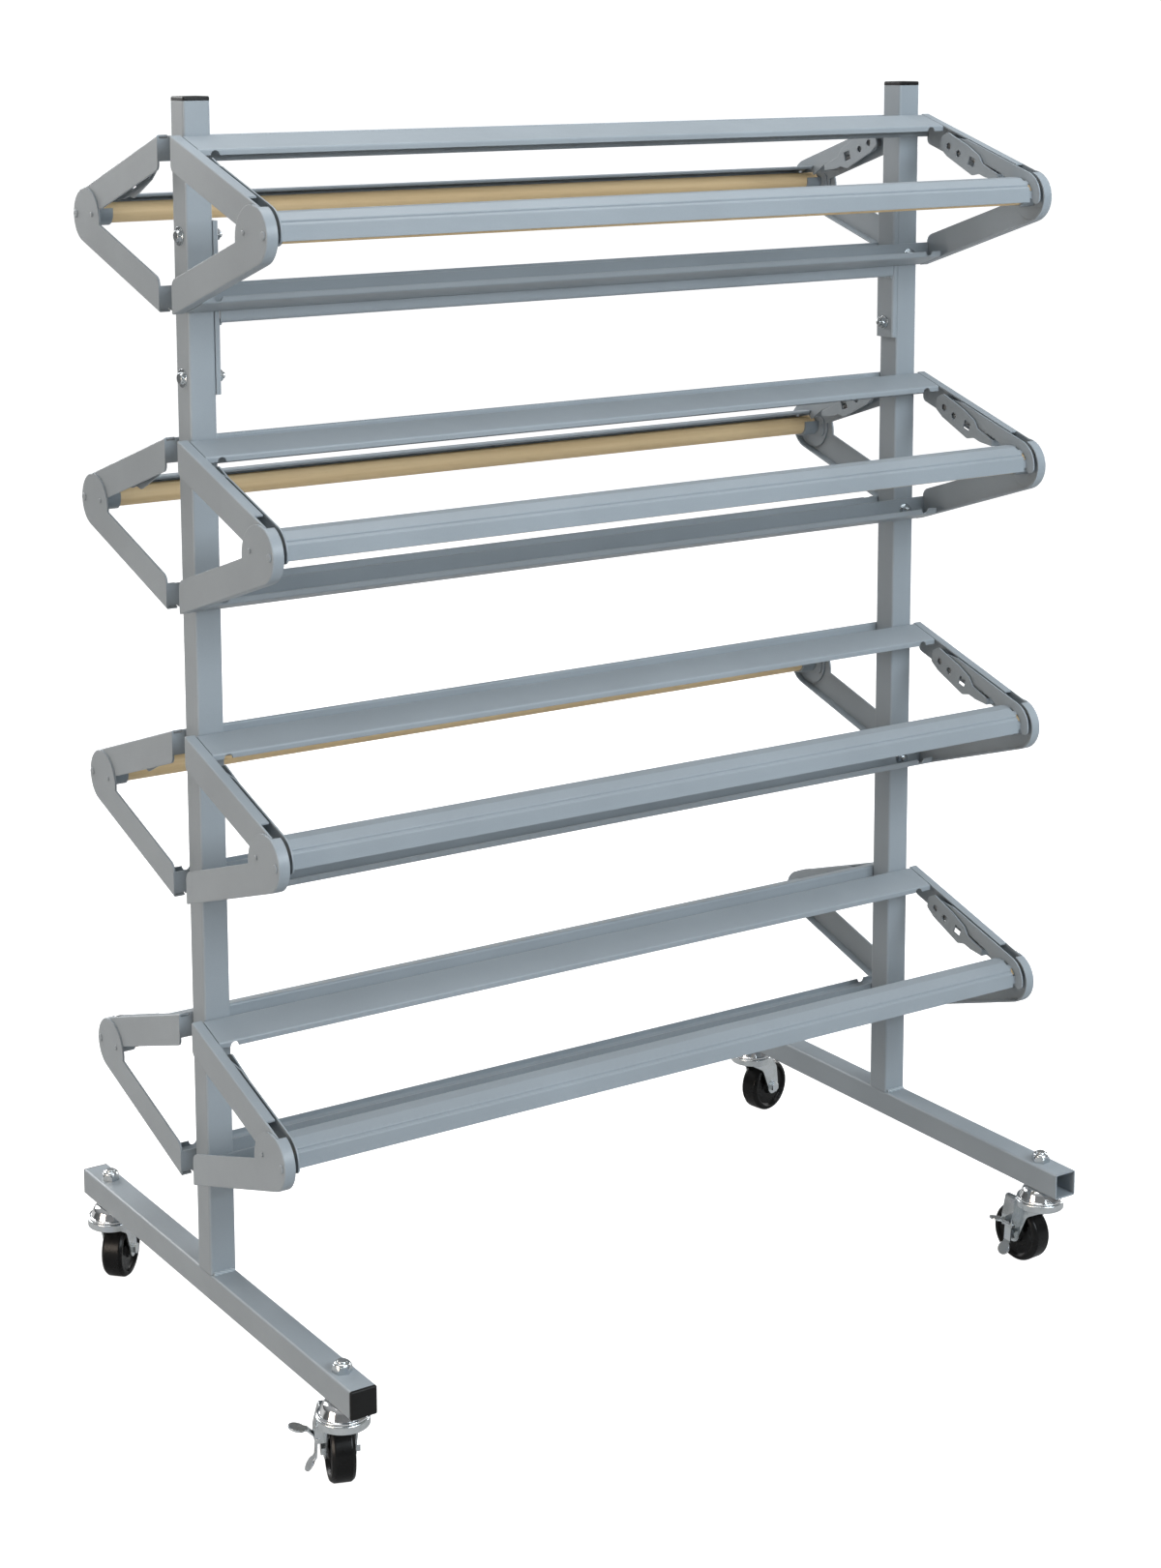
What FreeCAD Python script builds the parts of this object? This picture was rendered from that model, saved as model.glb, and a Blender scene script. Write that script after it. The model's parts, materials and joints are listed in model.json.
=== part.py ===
import FreeCAD, Part
import math
import os

import Sketcher
from FreeCAD import Placement, Rotation, Vector

# A mobile roll rack: a square-tube frame on four swivel casters carries eight roll dispensers, four levels
# on the front (-Y) and four on the back (+Y). Each dispenser is a box of two cross bars and two pairs of
# channel arms that hold a wooden rod in open saddles, with a sprung cutter bar over the rod.
# Origin: on the floor, under the middle of the rack. X runs along the bars and Z is up.

os.makedirs("parts", exist_ok=True)
doc = FreeCAD.newDocument("RollRack")
sheet = doc.addObject("Spreadsheet::Sheet", "Sizes")

# Driving dimensions, millimetres and degrees.
SIZES = (
    # square tubes
    ("tube_side", 34.0),
    ("tube_wall", 2.0),
    ("tube_round", 3.0),
    ("upright_x", 527.0),
    ("upright_length", 1402.5),
    ("foot_length", 710.0),
    ("caster_height", 111.0),
    ("stem_spread", 309.0),
    ("plug_head", 5.0),
    ("plug_insert", 12.0),
    # levels: the hub is the centre of the round front end of the arms
    ("top_hub", 1408.0),
    ("hub_pitch", 347.5),
    ("hub_reach", 218.0),
    ("hub_radius", 33.2),
    # arms
    ("arm_slope", 18.2),
    ("arm_width", 37.0),
    ("arm_end_radius", 31.0),
    ("arm_inside", 559.0),
    ("web_thick", 2.5),
    ("flange_thick", 2.0),
    ("upper_flange_inside", 548.5),
    ("upper_flange_reach", 200.0),
    ("lower_flange_inside", 550.0),
    ("rim_top_angle", 70.0),
    # cross bars
    ("bar_half_length", 547.5),
    ("bar_sheet", 2.0),
    ("bar_rear_height", 30.0),
    ("bar_reach", 61.0),
    ("bar_lip", 7.0),
    ("bar_notch", 5.5),
    # bolts
    ("bolt_radius", 4.0),
    ("bolt_hole", 4.25),
    ("bar_bolt_lift", 86.0),
    ("side_bolt_high", 1394.4),
    ("side_bolt_low", 1231.0),
    # rod and saddle
    ("rod_radius", 12.5),
    ("rod_half_length", 554.5),
    ("rod_lift", 2.0),
    ("saddle_gap", 0.05),
    ("saddle_wall", 2.5),
    ("saddle_inside", 533.5),
    ("saddle_outside", 557.0),
    # cutter, its pivot and its spring
    ("pivot_reach", 81.0),
    ("pivot_lift", 60.0),
    ("pivot_radius", 3.0),
    ("running_gap", 0.05),
    ("lug_inside", 539.5),
    ("lug_thick", 2.0),
    ("blade_inside", 543.5),
    ("blade_thick", 2.0),
    ("cutter_half_length", 539.5),
    ("cutter_sheet", 1.2),
    ("hook_radius", 31.0),
    ("hook_inside", 17.5),
    ("spring_x", 552.5),
    ("spring_radius", 5.0),
    ("spring_wire", 2.0),
    # stretcher
    ("stretcher_bottom", 1293.5),
    ("stretcher_height", 38.0),
    ("stretcher_depth", 25.0),
    ("stretcher_sheet", 2.5),
    ("stretcher_half_length", 502.5),
    ("end_channel_bottom", 1211.0),
    ("end_channel_height", 200.0),
    # casters
    ("stem_radius", 6.0),
    ("stem_room", 0.25),
    ("stem_rise", 13.0),
    ("wheel_radius", 38.0),
    ("wheel_width", 28.0),
    ("wheel_trail", 30.0),
    ("axle_radius", 4.0),
    ("crown_radius", 31.0),
    ("crown_top", 94.0),
    ("crown_thick", 5.5),
    ("crown_gap", 0.3),
    ("leg_inside", 15.5),
    ("leg_thick", 2.5),
    ("brake_pivot_side", 26.0),
    ("brake_pivot_lift", 54.0),
    ("brake_pin_radius", 2.0),
    ("heading_front_left", 69.8),
    ("heading_back_left", 44.8),
    ("heading_front_right", 93.8),
    ("heading_back_right", 13.3),
)
for row, (alias, value) in enumerate(SIZES, start=1):
    sheet.set("A%d" % row, alias)
    sheet.set("B%d" % row, str(value))
    sheet.setAlias("B%d" % row, alias)
doc.recompute()

X_AXIS = Vector(1, 0, 0)
Y_AXIS = Vector(0, 1, 0)
Z_AXIS = Vector(0, 0, 1)
ORIGIN = Vector(0, 0, 0)
NODES = []


def size(name):
    """One driving dimension."""
    return float(sheet.get(name))


# ---------------------------------------------------------------- outlines and solids

def in_yz(a, b):
    """Sideways outline: a is along Y, b is up."""
    return Vector(0, a, b)


def in_xz(a, b):
    """Front outline: a is along X, b is up."""
    return Vector(a, 0, b)


def in_xy(a, b):
    """Plan outline."""
    return Vector(a, b, 0)


def corner_arc(before, corner, after, radius):
    """Start, middle and end of the arc that rounds a corner."""
    back = (before - corner).normalize()
    ahead = (after - corner).normalize()
    half_angle = back.getAngle(ahead) / 2
    bisector = (back + ahead).normalize()
    run = radius / math.tan(half_angle)
    middle = corner + bisector * (radius / math.sin(half_angle) - radius)
    return corner + back * run, middle, corner + ahead * run


def outline(corners, plane):
    """Closed wire through corners (a, b) or (a, b, rounding radius)."""
    points = [plane(corner[0], corner[1]) for corner in corners]
    radii = [corner[2] if len(corner) > 2 else 0.0 for corner in corners]
    starts, edges, arcs = [], [], []
    for index, point in enumerate(points):
        before = points[index - 1]
        after = points[(index + 1) % len(points)]
        if radii[index] > 0:
            arcs.append(corner_arc(before, point, after, radii[index]))
        else:
            arcs.append((point, None, point))
        starts.append(arcs[-1][0])
    for index, (first, middle, last) in enumerate(arcs):
        if middle is not None:
            edges.append(Part.Arc(first, middle, last).toShape())
        following = starts[(index + 1) % len(starts)]
        if last.distanceToPoint(following) > 1e-6:
            edges.append(Part.makeLine(last, following))
    return Part.Wire(edges)


def plate(corners, plane, start, run):
    """Flat plate: the outline moved by start and extruded along run."""
    face = Part.Face(outline(corners, plane))
    face.translate(start)
    return face.extrude(run)


def ring_sector(centre, outer, inner, first_angle, last_angle):
    """Part of a ring in the YZ plane, from first_angle to last_angle above the +Y direction."""
    def spot(radius, degrees):
        turn = math.radians(degrees)
        return centre + Vector(0, math.cos(turn), math.sin(turn)) * radius

    middle_angle = (first_angle + last_angle) / 2
    edges = [
        Part.Arc(spot(outer, first_angle), spot(outer, middle_angle), spot(outer, last_angle)).toShape(),
        Part.makeLine(spot(outer, last_angle), spot(inner, last_angle)),
        Part.Arc(spot(inner, last_angle), spot(inner, middle_angle), spot(inner, first_angle)).toShape(),
        Part.makeLine(spot(inner, first_angle), spot(outer, first_angle)),
    ]
    return Part.Face(Part.Wire(edges))


def sheet_section(path, thick, bend, side):
    """Closed corner list of a bent sheet. side is +1 to thicken to the left of the path, -1 to the right."""
    points = [Vector(a, b, 0) for a, b in path]
    normals = []
    for first, second in zip(points, points[1:]):
        along = (second - first).normalize()
        normals.append(Vector(-along.y, along.x, 0) * side)
    kept, moved = [], []
    last = len(points) - 1
    for index, point in enumerate(points):
        if index in (0, last):
            normal = normals[0] if index == 0 else normals[-1]
            kept.append((point.x, point.y))
            inner = point + normal * thick
            moved.append((inner.x, inner.y))
            continue
        before, after = normals[index - 1], normals[index]
        mitre = (before + after).normalize()
        inner = point + mitre * (thick / mitre.dot(before))
        turn = (points[index] - points[index - 1]).cross(points[index + 1] - points[index]).z * side
        near, far = (bend, bend + thick) if turn > 0 else (bend + thick, bend)
        kept.append((point.x, point.y, far))
        moved.append((inner.x, inner.y, near))
    return kept + moved[::-1]


def rod_along_x(radius, start, end, y=0.0, z=0.0):
    return Part.makeCylinder(radius, end - start, Vector(start, y, z), X_AXIS)


def hexagon(across_flats, height, base, axis):
    """Hexagonal prism standing on base along axis."""
    corner = across_flats / math.sqrt(3)
    points = []
    for index in range(7):
        turn = math.radians(60 * index + 30)
        points.append(Vector(math.cos(turn), math.sin(turn), 0) * corner)
    prism = Part.Face(Part.makePolygon(points)).extrude(Vector(0, 0, height))
    return stand_on(prism, base, axis)


def stand_on(shape, base, axis):
    """Turn a shape built along Z so that it stands on base along axis."""
    shape.Placement = Placement(base, Rotation(Z_AXIS, axis))
    return shape


def turned_profile(corners):
    """Solid of revolution about Z from (radius, height) corners."""
    face = Part.Face(outline(corners, in_xz))
    return face.revolve(ORIGIN, Z_AXIS, 360)


def joined(shapes):
    """One clean solid from several that touch."""
    body = shapes[0]
    for shape in shapes[1:]:
        body = body.fuse(shape)
    return body.removeSplitter()


# ---------------------------------------------------------------- document objects

def keep(node):
    """Register a document object as one of the written pieces."""
    NODES.append(node)
    return node


def add_shape(name, shape):
    """A piece whose shape is made here from the sheet's sizes."""
    node = doc.addObject("Part::Feature", name)
    node.Label = name
    node.Shape = shape
    node.Placement = shape.Placement
    return keep(node)


def origin_plane(body, role):
    for feature in body.Origin.OriginFeatures:
        if feature.Role == role:
            return feature
    raise ValueError(role)


def add_sketch(body, role, name):
    sketch = body.newObject("Sketcher::SketchObject", name)
    sketch.AttachmentSupport = [(origin_plane(body, role), "")]
    sketch.MapMode = "FlatFace"
    return sketch


def add_square(sketch, side, side_expression):
    """A square centred on the sketch origin."""
    half = side / 2
    corners = [Vector(-half, -half, 0), Vector(half, -half, 0), Vector(half, half, 0), Vector(-half, half, 0)]
    first = sketch.GeometryCount
    for index in range(4):
        sketch.addGeometry(Part.LineSegment(corners[index], corners[(index + 1) % 4]), False)
    for index in range(4):
        following = first + (index + 1) % 4
        sketch.addConstraint(Sketcher.Constraint("Coincident", first + index, 2, following, 1))
        kind = "Horizontal" if index % 2 == 0 else "Vertical"
        sketch.addConstraint(Sketcher.Constraint(kind, first + index))
    sketch.addConstraint(Sketcher.Constraint("Symmetric", first, 1, first + 2, 1, -1, 1))
    wide = sketch.addConstraint(Sketcher.Constraint("DistanceX", first, 1, first, 2, side))
    tall = sketch.addConstraint(Sketcher.Constraint("DistanceY", first + 1, 1, first + 1, 2, side))
    sketch.setExpression("Constraints[%d]" % wide, side_expression)
    sketch.setExpression("Constraints[%d]" % tall, side_expression)


def add_hole(sketch, up, radius_expression, up_expression):
    """A round hole on the sketch's vertical axis, at a bound height above the sketch origin."""
    first_radius = 4.0
    circle = sketch.addGeometry(Part.Circle(Vector(0, up, 0), Z_AXIS, first_radius), False)
    radius = sketch.addConstraint(Sketcher.Constraint("Radius", circle, first_radius))
    sketch.addConstraint(Sketcher.Constraint("DistanceX", -1, 1, circle, 3, 0.0))
    height = sketch.addConstraint(Sketcher.Constraint("DistanceY", -1, 1, circle, 3, up))
    sketch.setExpression("Constraints[%d]" % radius, radius_expression)
    sketch.setExpression("Constraints[%d]" % height, up_expression)


def add_tube(name, plane_role, length_name):
    """A square tube with rounded corners, padded from the middle of an origin plane."""
    body = doc.addObject("PartDesign::Body", name)
    body.Label = name
    section = add_sketch(body, plane_role, name + "_section")
    add_square(section, size("tube_side"), "Sizes.tube_side")
    add_square(section, size("tube_side") - 2 * size("tube_wall"), "Sizes.tube_side - 2 * Sizes.tube_wall")
    pad = body.newObject("PartDesign::Pad", name + "_pad")
    pad.Profile = section
    pad.setExpression("Length", "Sizes." + length_name)
    doc.recompute()
    outer = size("tube_side") / 2
    corners = []
    for index, edge in enumerate(pad.Shape.Edges, start=1):
        first, last = edge.Vertexes[0].Point, edge.Vertexes[-1].Point
        cross = (first.x, first.y if plane_role == "XY_Plane" else first.z)
        along = first.distanceToPoint(last)
        if abs(abs(cross[0]) - outer) < 0.01 and abs(abs(cross[1]) - outer) < 0.01 and along > 100:
            corners.append("Edge%d" % index)
    rounding = body.newObject("PartDesign::Fillet", name + "_rounding")
    rounding.Base = (pad, corners)
    rounding.setExpression("Radius", "Sizes.tube_round")
    doc.recompute()
    return body


def add_pocket(body, sketch, name):
    """Cut a sketch of holes right through the body, both ways from its plane."""
    before = body.Shape.Volume
    pocket = body.newObject("PartDesign::Pocket", name)
    pocket.Profile = sketch
    pocket.Type = "ThroughAll"
    pocket.SideType = "Symmetric"
    doc.recompute()
    if not pocket.Shape.Volume < before - 1:
        raise RuntimeError(name + " cuts nothing")


HUBS = [size("top_hub") - level * size("hub_pitch") for level in range(4)]
SIDES = (("left", -1), ("right", 1))
FACES = (("front", -1), ("back", 1))
FOOT_TOP = size("caster_height") + size("tube_side")
UPRIGHT_TOP = FOOT_TOP + size("upright_length")
HALF_TUBE = size("tube_side") / 2
SIDE_BOLTS = ("side_bolt_high", "side_bolt_low")


# ---------------------------------------------------------------- frame

def make_uprights():
    """Two square tubes, drilled front to back for the cross bars and sideways for the stretcher."""
    foot_top = " - Sizes.caster_height - Sizes.tube_side"
    for side, sign in SIDES:
        body = add_tube(side + "_upright", "XY_Plane", "upright_length")
        across = add_sketch(body, "XZ_Plane", side + "_bar_holes")
        for level in range(4):
            for way in (1, -1):
                expression = "Sizes.top_hub - %d * Sizes.hub_pitch + %d * Sizes.bar_bolt_lift" % (level, way)
                place = HUBS[level] + way * size("bar_bolt_lift") - FOOT_TOP
                add_hole(across, place, "Sizes.bolt_hole", expression + foot_top)
        add_pocket(body, across, side + "_bar_hole_pocket")
        sideways = add_sketch(body, "YZ_Plane", side + "_side_holes")
        for name in SIDE_BOLTS:
            add_hole(sideways, size(name) - FOOT_TOP, "Sizes.bolt_hole", "Sizes." + name + foot_top)
        add_pocket(body, sideways, side + "_side_hole_pocket")
        body.setExpression("Placement.Base.x", "%d * Sizes.upright_x" % sign)
        body.setExpression("Placement.Base.z", "Sizes.caster_height + Sizes.tube_side")
        keep(body)


def make_feet():
    """Two square tubes along Y, drilled near their ends for the caster stems."""
    for side, sign in SIDES:
        body = add_tube(side + "_foot", "XZ_Plane", "foot_length")
        holes = add_sketch(body, "XY_Plane", side + "_stem_holes")
        for way in (1, -1):
            expression = "-Sizes.foot_length / 2 + %d * Sizes.stem_spread" % way
            place = -size("foot_length") / 2 + way * size("stem_spread")
            add_hole(holes, place, "Sizes.stem_radius + Sizes.stem_room", expression)
        add_pocket(body, holes, side + "_stem_hole_pocket")
        body.setExpression("Placement.Base.x", "%d * Sizes.upright_x" % sign)
        body.setExpression("Placement.Base.y", "Sizes.foot_length / 2")
        body.setExpression("Placement.Base.z", "Sizes.caster_height + Sizes.tube_side / 2")
        keep(body)


def tube_plug(base, axis, head):
    """A plastic plug: a head with softened edges over the tube end and a square insert inside it."""
    side = size("tube_side") - 0.5
    insert_side = size("tube_side") - 2 * size("tube_wall") - 0.4
    depth = size("plug_insert")
    cap = Part.makeBox(side, side, head, Vector(-side / 2, -side / 2, 0))
    softened = [edge for edge in cap.Edges if edge.BoundBox.ZMax > 0.1]
    cap = cap.makeFillet(2.0, softened)
    insert = Part.makeBox(insert_side, insert_side, depth, Vector(-insert_side / 2, -insert_side / 2, -depth))
    return stand_on(cap.fuse(insert), base, axis)


def make_plugs():
    """Plugs on top of the uprights and in three foot ends. The front end of the right foot is open."""
    x = size("upright_x")
    foot_z = size("caster_height") + HALF_TUBE
    foot_y = size("foot_length") / 2
    foot_head = size("plug_head") - 1.5
    plugs = []
    for side, sign in SIDES:
        plugs.append(tube_plug(Vector(sign * x, 0, UPRIGHT_TOP), Z_AXIS, size("plug_head")))
    for sign, way in ((-1, -1), (-1, 1), (1, 1)):
        plugs.append(tube_plug(Vector(sign * x, way * foot_y, foot_z), Y_AXIS * way, foot_head))
    add_shape("tube_plugs", Part.makeCompound(plugs))


def make_stretcher():
    """A channel along X, open to the back, between two taller channels bolted inside the uprights."""
    thick = size("stretcher_sheet")
    bend = 1.5
    bottom = size("stretcher_bottom")
    top = bottom + size("stretcher_height")
    depth = size("stretcher_depth") - HALF_TUBE
    half = size("stretcher_half_length")
    path = ((depth, bottom), (-HALF_TUBE, bottom), (-HALF_TUBE, top), (depth, top))
    section = sheet_section(path, thick, bend, -1)
    add_shape("stretcher_channel", plate(section, in_yz, Vector(-half, 0, 0), Vector(2 * half, 0, 0)))

    reach = size("upright_x") - HALF_TUBE - half
    path = ((reach, -HALF_TUBE), (0, -HALF_TUBE), (0, HALF_TUBE), (reach, HALF_TUBE))
    section = sheet_section(path, thick, bend, -1)
    start = Vector(half, 0, size("end_channel_bottom"))
    channel = plate(section, in_xy, start, Vector(0, 0, size("end_channel_height")))
    for name in SIDE_BOLTS:
        channel = channel.cut(rod_along_x(size("bolt_hole"), half - 1, half + thick + 1, 0.0, size(name)))
    add_shape("stretcher_end_channels", Part.makeCompound([channel, channel.mirror(ORIGIN, X_AXIS)]))


def bead(start, end, first_way, second_way, radius):
    """Quarter-round weld bead in the corner along start to end, filling between two directions."""
    middle = (first_way + second_way).normalize() * radius
    arc = Part.Arc(start + first_way * radius, start + middle, start + second_way * radius).toShape()
    down = Part.makeLine(start + second_way * radius, start)
    along = Part.makeLine(start, start + first_way * radius)
    return Part.Face(Part.Wire([arc, down, along])).extrude(end - start)


def make_welds():
    """Beads where the uprights stand on the feet and where the stretcher meets its end channels."""
    beads = []
    bead_radius = 3.5
    inset = size("tube_round")
    half = size("stretcher_half_length")
    levels = ((size("stretcher_bottom"), -1), (size("stretcher_bottom") + size("stretcher_height"), 1))
    for side, sign in SIDES:
        middle = sign * size("upright_x")
        for face, way in FACES:
            start = Vector(middle - HALF_TUBE + inset, way * HALF_TUBE, FOOT_TOP)
            end = Vector(middle + HALF_TUBE - inset, way * HALF_TUBE, FOOT_TOP)
            beads.append(bead(start, end, Y_AXIS * way, Z_AXIS, bead_radius))
        for height, way in levels:
            start = Vector(sign * half, -HALF_TUBE + 2, height)
            end = Vector(sign * half, size("stretcher_depth") - HALF_TUBE, height)
            beads.append(bead(start, end, X_AXIS * -sign, Z_AXIS * way, bead_radius - 1))
    add_shape("weld_beads", Part.makeCompound(beads))


def flange_bolt(head_seat, axis, grip, washer_radius):
    """Hexagon flange bolt: the head stands on head_seat away from axis, the shank runs along axis."""
    radius = size("bolt_radius")
    washer = Part.makeCylinder(washer_radius, 1.6, ORIGIN, -Z_AXIS)
    head = hexagon(13.0, 5.4, ORIGIN, -Z_AXIS)
    dome = Part.makeCone(8.2, 6.0, 5.4, ORIGIN, -Z_AXIS)
    shank = Part.makeCylinder(radius, grip, ORIGIN, Z_AXIS)
    bolt = joined([head.common(dome), washer, shank])
    tip = [edge for edge in bolt.Edges if edge.BoundBox.ZMin > grip - 0.01]
    bolt = bolt.makeChamfer(0.8, tip)
    return stand_on(bolt, head_seat, axis)


def flange_nut(seat, axis):
    """Hexagon flange nut that stands on seat along axis."""
    washer = Part.makeCylinder(8.6, 1.4)
    body = hexagon(13.0, 7.2, ORIGIN, Z_AXIS).common(Part.makeCone(9.4, 6.7, 7.2))
    nut = joined([body, washer]).cut(Part.makeCylinder(size("bolt_radius") + 0.03, 20, Vector(0, 0, -5)))
    return stand_on(nut, seat, axis)


def make_fasteners():
    """Sixteen bolts clamp front and back cross bars to the uprights, four clamp the stretcher ends."""
    bolts, nuts = [], []
    clamp = HALF_TUBE + size("bar_sheet")
    outer = size("upright_x") + HALF_TUBE
    inner = size("stretcher_half_length")
    for side, sign in SIDES:
        for hub in HUBS:
            for lift in (size("bar_bolt_lift"), -size("bar_bolt_lift")):
                place = Vector(sign * size("upright_x"), clamp, hub + lift)
                bolts.append(flange_bolt(place, -Y_AXIS, 2 * clamp + 11, 8.6))
                nuts.append(flange_nut(place - Y_AXIS * 2 * clamp, -Y_AXIS))
        for name in SIDE_BOLTS:
            place = Vector(sign * outer, 0, size(name))
            bolts.append(flange_bolt(place, X_AXIS * -sign, outer - inner + 11, 11.0))
            nuts.append(flange_nut(Vector(sign * inner, 0, size(name)), X_AXIS * -sign))
    add_shape("frame_bolts", Part.makeCompound(bolts))
    add_shape("frame_nuts", Part.makeCompound(nuts))


# ---------------------------------------------------------------- dispensers
# Each master piece is drawn for the right end of a back dispenser with its hub at height zero. a is the
# distance out from the frame's middle plane and b the height above the hub.

SLOPE = math.radians(size("arm_slope"))
ARM_TOP = size("hub_radius") / math.cos(SLOPE) + math.tan(SLOPE) * (size("hub_reach") - HALF_TUBE)
HUB = Vector(0, size("hub_reach"), 0)
ROD = Vector(0, size("hub_reach"), size("rod_lift"))
PIVOT = Vector(0, size("pivot_reach"), size("pivot_lift"))
HUB_RIVET = (243.0, 1.0, 2.5)
HUB_NUB = (197.0, 2.0, 2.0)
SPRING_TAIL = Vector(0, 100, 51)
SPRING_ANCHOR = Vector(0, 160, 24)


def at_each_level(shape):
    """Copies of a back piece at every hub height."""
    copies = []
    for hub in HUBS:
        copy = shape.copy()
        copy.translate(Vector(0, 0, hub))
        copies.append(copy)
    return copies


def on_both_faces(shape):
    return at_each_level(shape) + at_each_level(shape.mirror(ORIGIN, Y_AXIS))


def at_all_corners(shape):
    """The master at both ends of all eight dispensers."""
    return on_both_faces(shape) + on_both_faces(shape.mirror(ORIGIN, X_AXIS))


def disc(centre, radius, start, end):
    return Part.makeCylinder(radius, end - start, Vector(start, centre.y, centre.z), X_AXIS)


def arm_strip(way, inner_round, start, thick):
    """The straight stretch of an arm. Its outer edge is tangent to the hub; way is +1 for the upper arm."""
    out = Vector(0, math.sin(SLOPE), math.cos(SLOPE))
    tangent = HUB + out * size("hub_radius")
    inner = tangent - out * size("arm_width")
    drop = size("arm_width") / math.cos(SLOPE)
    corners = [
        (HALF_TUBE, way * ARM_TOP),
        (tangent.y, way * tangent.z),
        (inner.y, way * inner.z),
        (HALF_TUBE, way * (ARM_TOP - drop), inner_round),
    ]
    return plate(corners, in_yz, Vector(start, 0, 0), Vector(thick, 0, 0))


def edge_flange(way, reach, start, end):
    """The flange folded inward along an arm's outer edge, out to reach."""
    fall = math.tan(SLOPE) * (reach - HALF_TUBE)
    thick = size("flange_thick") / math.cos(SLOPE)
    corners = [
        (HALF_TUBE, way * ARM_TOP),
        (reach, way * (ARM_TOP - fall)),
        (reach, way * (ARM_TOP - fall - thick)),
        (HALF_TUBE, way * (ARM_TOP - thick)),
    ]
    return plate(corners, in_yz, Vector(start, 0, 0), Vector(end - start, 0, 0))


def rivet_holes(shape):
    for a, b, radius in (HUB_RIVET, HUB_NUB):
        shape = shape.cut(rod_along_x(radius, 500, 600, a, b))
    return shape


def softened_fold(shape, x, radius):
    """Round the long outer edge where the web folds into its flange."""
    fall = math.tan(SLOPE)
    picked = []
    for edge in shape.Edges:
        box = edge.BoundBox
        on_web = abs(box.XMin - x) < 0.01 and abs(box.XMax - x) < 0.01
        off_line = 0.0
        for spot in (edge.Vertexes[0].Point, edge.Vertexes[-1].Point):
            off_line = max(off_line, abs(abs(spot.z) + fall * (spot.y - HALF_TUBE) - ARM_TOP))
        if on_web and off_line < 0.05 and edge.Length > 100:
            picked.append(edge)
    return shape.makeFillet(radius, picked)


def make_upper_arms():
    """Flat web with a folded top flange that stops short of the hub, and a round end inside the hub."""
    start = size("arm_inside")
    thick = size("web_thick")
    web = arm_strip(1, 8.0, start, thick).fuse(disc(HUB, size("arm_end_radius"), start, start + thick))
    flange = edge_flange(1, size("upper_flange_reach"), size("upper_flange_inside"), start)
    arm = softened_fold(joined([web, flange]), start + thick, 1.8)
    add_shape("upper_arms", Part.makeCompound(at_all_corners(rivet_holes(arm))))


def make_lower_arms():
    """Web with the hub disc and its rear fairing, and a rim folded inward below and round the front."""
    start = size("arm_inside") + size("web_thick")
    thick = size("web_thick")
    radius = size("hub_radius")
    fairing_centre = HUB - Vector(0, 2.0, 5.5)
    fairing_radius = 38.8
    fairing_run, fairing_drop = 68.0, 20.0
    fairing = disc(fairing_centre, fairing_radius, start, start + thick)
    window_corner = Vector(start, size("hub_reach") - fairing_run, -fairing_drop)
    window = Part.makeBox(thick, fairing_run, 2 * fairing_radius, window_corner)
    hub_disc = disc(HUB, radius, start, start + thick)
    web = arm_strip(-1, 12.0, start, thick).fuse([hub_disc, fairing.common(window)])
    inside = size("lower_flange_inside")
    tangent_reach = size("hub_reach") + math.sin(SLOPE) * radius
    flange = edge_flange(-1, tangent_reach, inside, start)
    rim_start = -90 + size("arm_slope")
    rim = ring_sector(HUB, radius, radius - size("flange_thick"), rim_start, size("rim_top_angle"))
    rim.translate(Vector(inside, 0, 0))
    arm = joined([web, flange, rim.extrude(Vector(start - inside, 0, 0))])
    arm = softened_fold(arm, start + thick, 1.8)
    add_shape("lower_arms", Part.makeCompound(at_all_corners(rivet_holes(arm))))


def cross_bar(way, rear_half):
    """Bent sheet: a rear flange against the uprights, a sloping face and a short front lip."""
    thick = size("bar_sheet")
    half = size("bar_half_length")
    reach = size("bar_reach")
    face_end = ARM_TOP - math.tan(SLOPE) * (reach - HALF_TUBE)
    lip_end = face_end - size("bar_lip")
    rear_low = ARM_TOP - size("bar_rear_height")
    path = ((HALF_TUBE, rear_low), (HALF_TUBE, ARM_TOP), (reach, face_end), (reach, lip_end))
    corners = sheet_section([(a, way * b) for a, b in path], thick, 0.8, -way)
    bar = plate(corners, in_yz, Vector(-half, 0, 0), Vector(2 * half, 0, 0))
    trim = 4.0
    rear_height = size("bar_rear_height") - trim
    rear = Part.makeBox(2 * rear_half, thick, rear_height, Vector(-rear_half, HALF_TUBE, rear_low))
    if way < 0:
        rear = rear.mirror(ORIGIN, Z_AXIS)
    bar = joined([bar, rear])
    for side, sign in SIDES:
        x = sign * size("upright_x")
        hole_at = Vector(x, HALF_TUBE - 5, way * size("bar_bolt_lift"))
        notch_at = Vector(x, reach - 5, way * lip_end)
        hole = Part.makeCylinder(size("bolt_hole"), 20, hole_at, Y_AXIS)
        notch = Part.makeCylinder(size("bar_notch"), 20, notch_at, Y_AXIS)
        bar = bar.cut([hole, notch])
    return bar


def make_cross_bars():
    inside = size("arm_inside")
    add_shape("upper_cross_bars", Part.makeCompound(on_both_faces(cross_bar(1, inside))))
    add_shape("lower_cross_bars", Part.makeCompound(on_both_faces(cross_bar(-1, inside + size("web_thick")))))


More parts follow.
